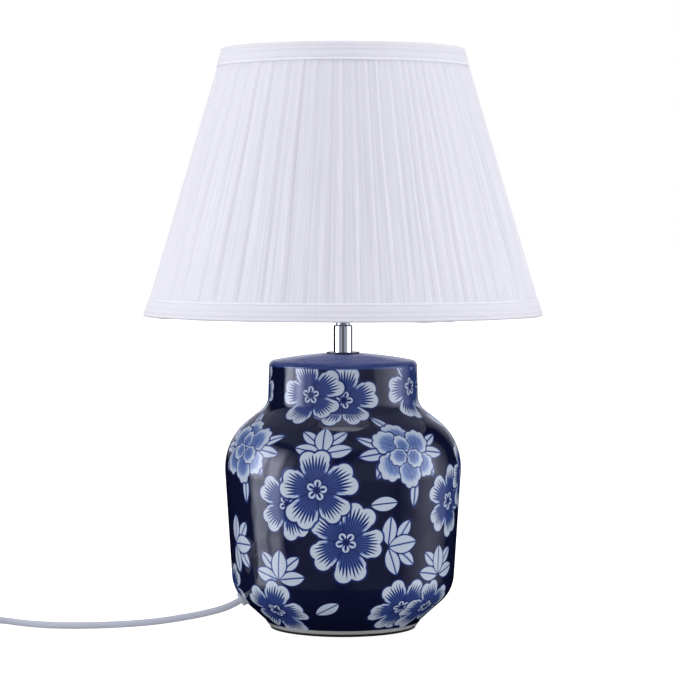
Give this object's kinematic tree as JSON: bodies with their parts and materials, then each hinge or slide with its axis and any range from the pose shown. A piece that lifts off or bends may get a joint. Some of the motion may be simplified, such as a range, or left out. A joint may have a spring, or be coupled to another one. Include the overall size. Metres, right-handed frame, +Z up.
{
  "type": "ceramic table lamp",
  "caption": "Table lamp with a blue glazed ginger-jar ceramic base, short chrome stem, pleated white empire shade, screw bulb and a switched cord with a flat plug.",
  "frame": {"origin": "middle of the base, on the table", "axes": "+Z up along the lamp's axis; the picture looks along +Y; the cord leaves towards -X"},
  "size_m": [0.5116, 0.307, 0.4199],
  "materials": {
    "blue_glaze": "glossy blue and white blossom glaze",
    "pad_rubber": "matt black",
    "chrome": "polished chrome",
    "zinc_steel": "zinc plated",
    "black_rubber": "matt",
    "clear_pvc": "milky soft plastic",
    "stop_nylon": "natural nylon",
    "holder_plastic": "white moulded plastic",
    "steatite": "unglazed white",
    "brass": "bright brass",
    "nickel": "nickel plated",
    "cord_pvc": "smooth white sheath",
    "core_brown": "brown insulation",
    "core_blue": "blue insulation",
    "pleated_cloth": "white pleated polyester",
    "trim_cloth": "white folded band",
    "liner_sheet": "white satin sheet",
    "white_wire": "white powder coat",
    "bulb_solder": "tinned",
    "bulb_plastic": "white housing",
    "opal": "opal diffuser",
    "switch_plastic": "white moulded plastic",
    "pin_steel": "bright steel",
    "sleeve_black": "black insulating sleeve"
  },
  "bodies": {
    "lamp": {"base_pad": "pad_rubber", "ceramic_body": "blue_glaze", "cord_grommet": "clear_pvc", "cord_stop": "stop_nylon", "stem_flange": "chrome", "stem_tube": "chrome", "threaded_pipe": "zinc_steel", "rubber_washer": "black_rubber", "steel_washer": "zinc_steel", "hex_nut": "zinc_steel", "holder_cap": "holder_plastic", "holder_barrel": "holder_plastic", "holder_insulator": "steatite", "thread_shell": "nickel", "centre_contact": "brass", "terminal_posts": "brass", "terminal_screws": "zinc_steel", "inner_cord": "cord_pvc", "live_core": "core_brown", "neutral_core": "core_blue", "cord_to_switch": "cord_pvc", "cord_to_coil": "cord_pvc", "cord_coil": "cord_pvc", "coil_tie": "stop_nylon", "cord_to_plug": "cord_pvc", "switch_lower_case": "switch_plastic", "switch_upper_case": "switch_plastic", "rocker_pin": "pin_steel", "switch_contacts": "brass", "switch_screws": "zinc_steel", "plug_body": "switch_plastic", "plug_pins": "nickel", "pin_sleeves": "sleeve_black"},
    "shade": {"shade_liner": "liner_sheet", "pleated_cover": "pleated_cloth", "top_trim": "trim_cloth", "bottom_trim": "trim_cloth", "top_ring": "white_wire", "bottom_ring": "white_wire", "fitter_ring": "white_wire", "fitter_arms": "white_wire"},
    "shade_clamp": {"clamp_ring": "holder_plastic"},
    "bulb_tip": {"bulb_contact": "bulb_solder"},
    "bulb": {"bulb_cap": "nickel", "bulb_housing": "bulb_plastic", "bulb_diffuser": "opal"},
    "rocker": {"switch_rocker": "switch_plastic"}
  },
  "joints": [
    {"name": "shade_turn", "type": "hinge", "parent": "lamp", "child": "shade", "pos_m": [0, 0, 0.2494], "axis": [0, 0, 1], "continuous": true},
    {"name": "clamp_ring_turn", "type": "hinge", "parent": "lamp", "child": "shade_clamp", "pos_m": [0, 0, 0.251], "axis": [0, 0, 1], "continuous": true},
    {"name": "bulb_withdraw", "type": "slide", "parent": "lamp", "child": "bulb_tip", "axis": [0, 0, 1], "range_m": [0, 0.0182]},
    {"name": "bulb_turn", "type": "hinge", "parent": "bulb_tip", "child": "bulb", "pos_m": [0, 0, 0.26], "axis": [0, 0, 1], "range_deg": [0, 1800]},
    {"name": "switch_rocker", "type": "hinge", "parent": "lamp", "child": "rocker", "pos_m": [-0.288, -0.013, 0.0115], "axis": [0, 1, 0], "range_deg": [0, 16]}
  ],
  "couplings": [
    {"joint": "bulb_withdraw", "follows": "bulb_turn", "m_per_rad": 0.00057773}
  ]
}
